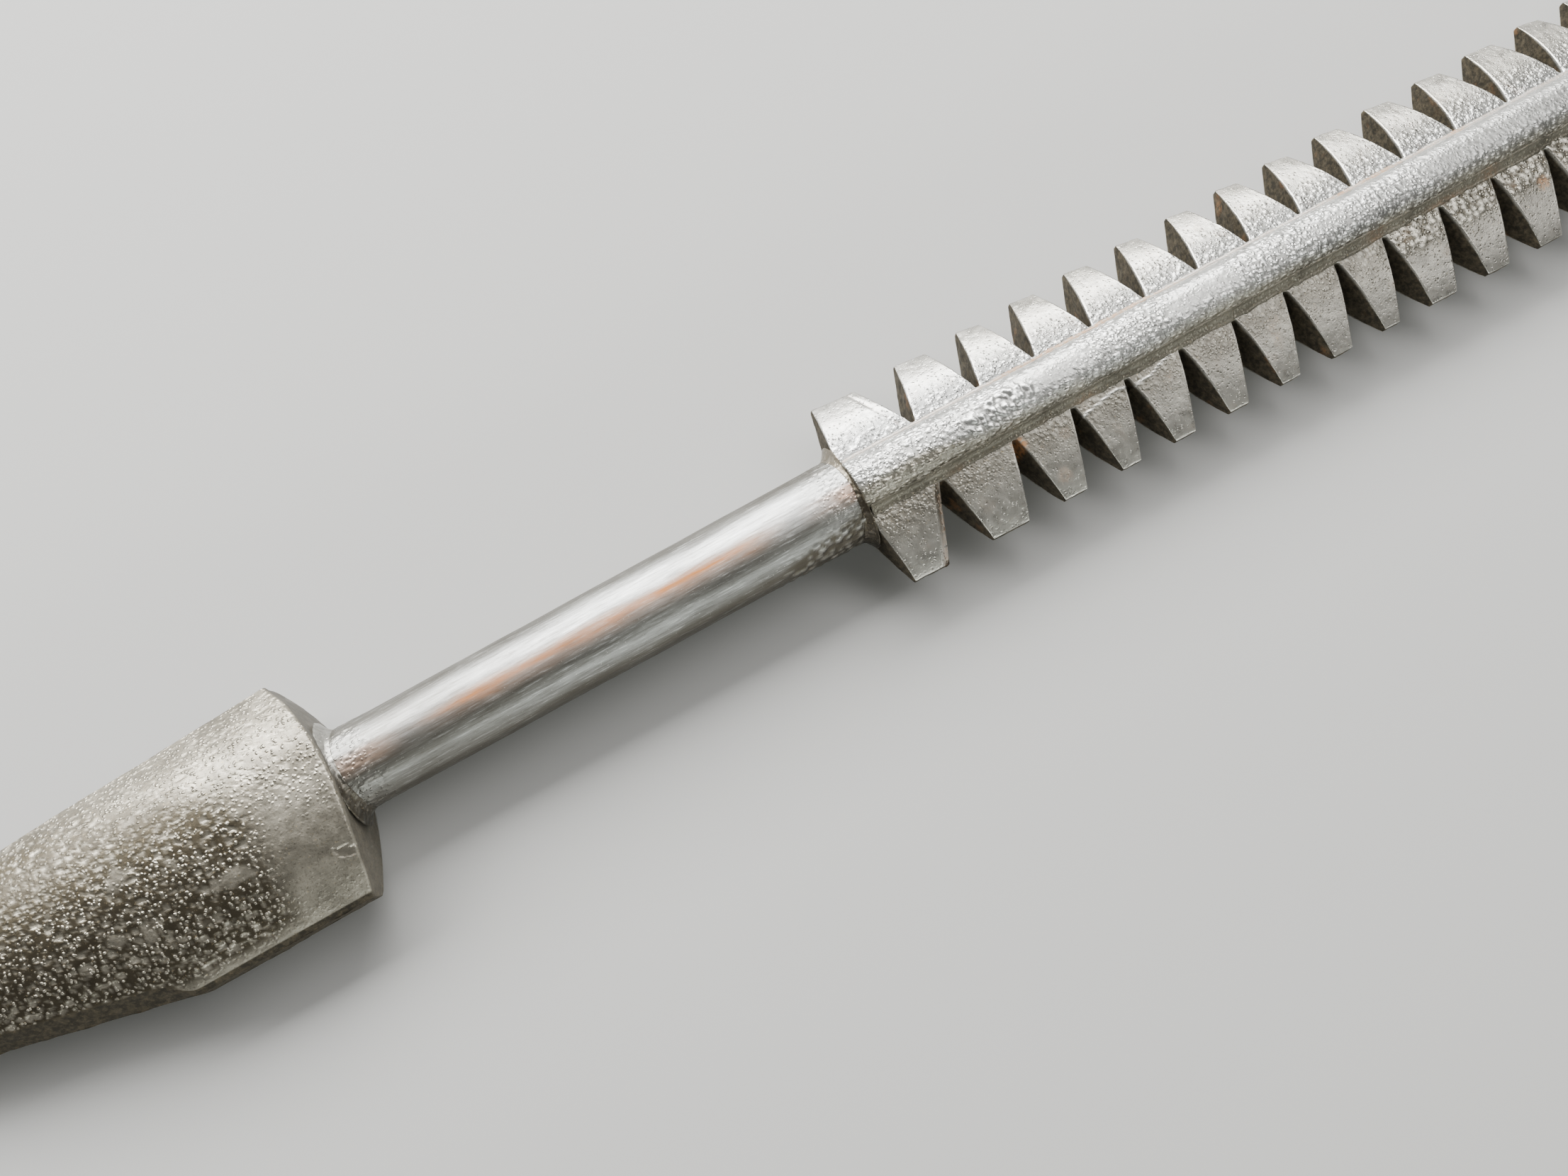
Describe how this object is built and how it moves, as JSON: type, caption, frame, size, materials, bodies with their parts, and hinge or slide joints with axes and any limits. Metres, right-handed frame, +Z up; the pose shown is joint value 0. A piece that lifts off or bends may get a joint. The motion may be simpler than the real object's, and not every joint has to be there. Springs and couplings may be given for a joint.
{
  "type": "double-sided toothed rack bar",
  "caption": "Long steel bar with two opposite rows of tapered rack teeth on a ribbed spine, a round neck and a blunt blade-shaped head.",
  "frame": {"origin": "middle of the bottom of the bar's bounding box, on the surface that the bar lies on", "axes": "+X along the bar from the head to the far end, +Y across the bar towards the left row of teeth, +Z up"},
  "size_m": [0.4882, 0.0532, 0.0236],
  "materials": {
    "head_metal": "dark gunmetal with raised glossy droplets over brown",
    "neck_metal": "satin drawn steel with a worn rust streak",
    "spine_metal": "silvery gunmetal with fine raised pimples",
    "rack_metal": "silvery gunmetal faces, brown rough-sawn flanks",
    "weld_metal": "dark lumpy weld bead"
  },
  "bodies": {
    "root": {"head": "head_metal", "neck_rod": "neck_metal", "spine_bar": "spine_metal", "rack_strip_left": "rack_metal", "rack_strip_right": "rack_metal", "seam_weld_left_top": "weld_metal", "seam_weld_left_bottom": "weld_metal", "seam_weld_right_top": "weld_metal", "seam_weld_right_bottom": "weld_metal", "shoulder_weld": "weld_metal", "head_weld": "weld_metal"}
  },
  "joints": []
}
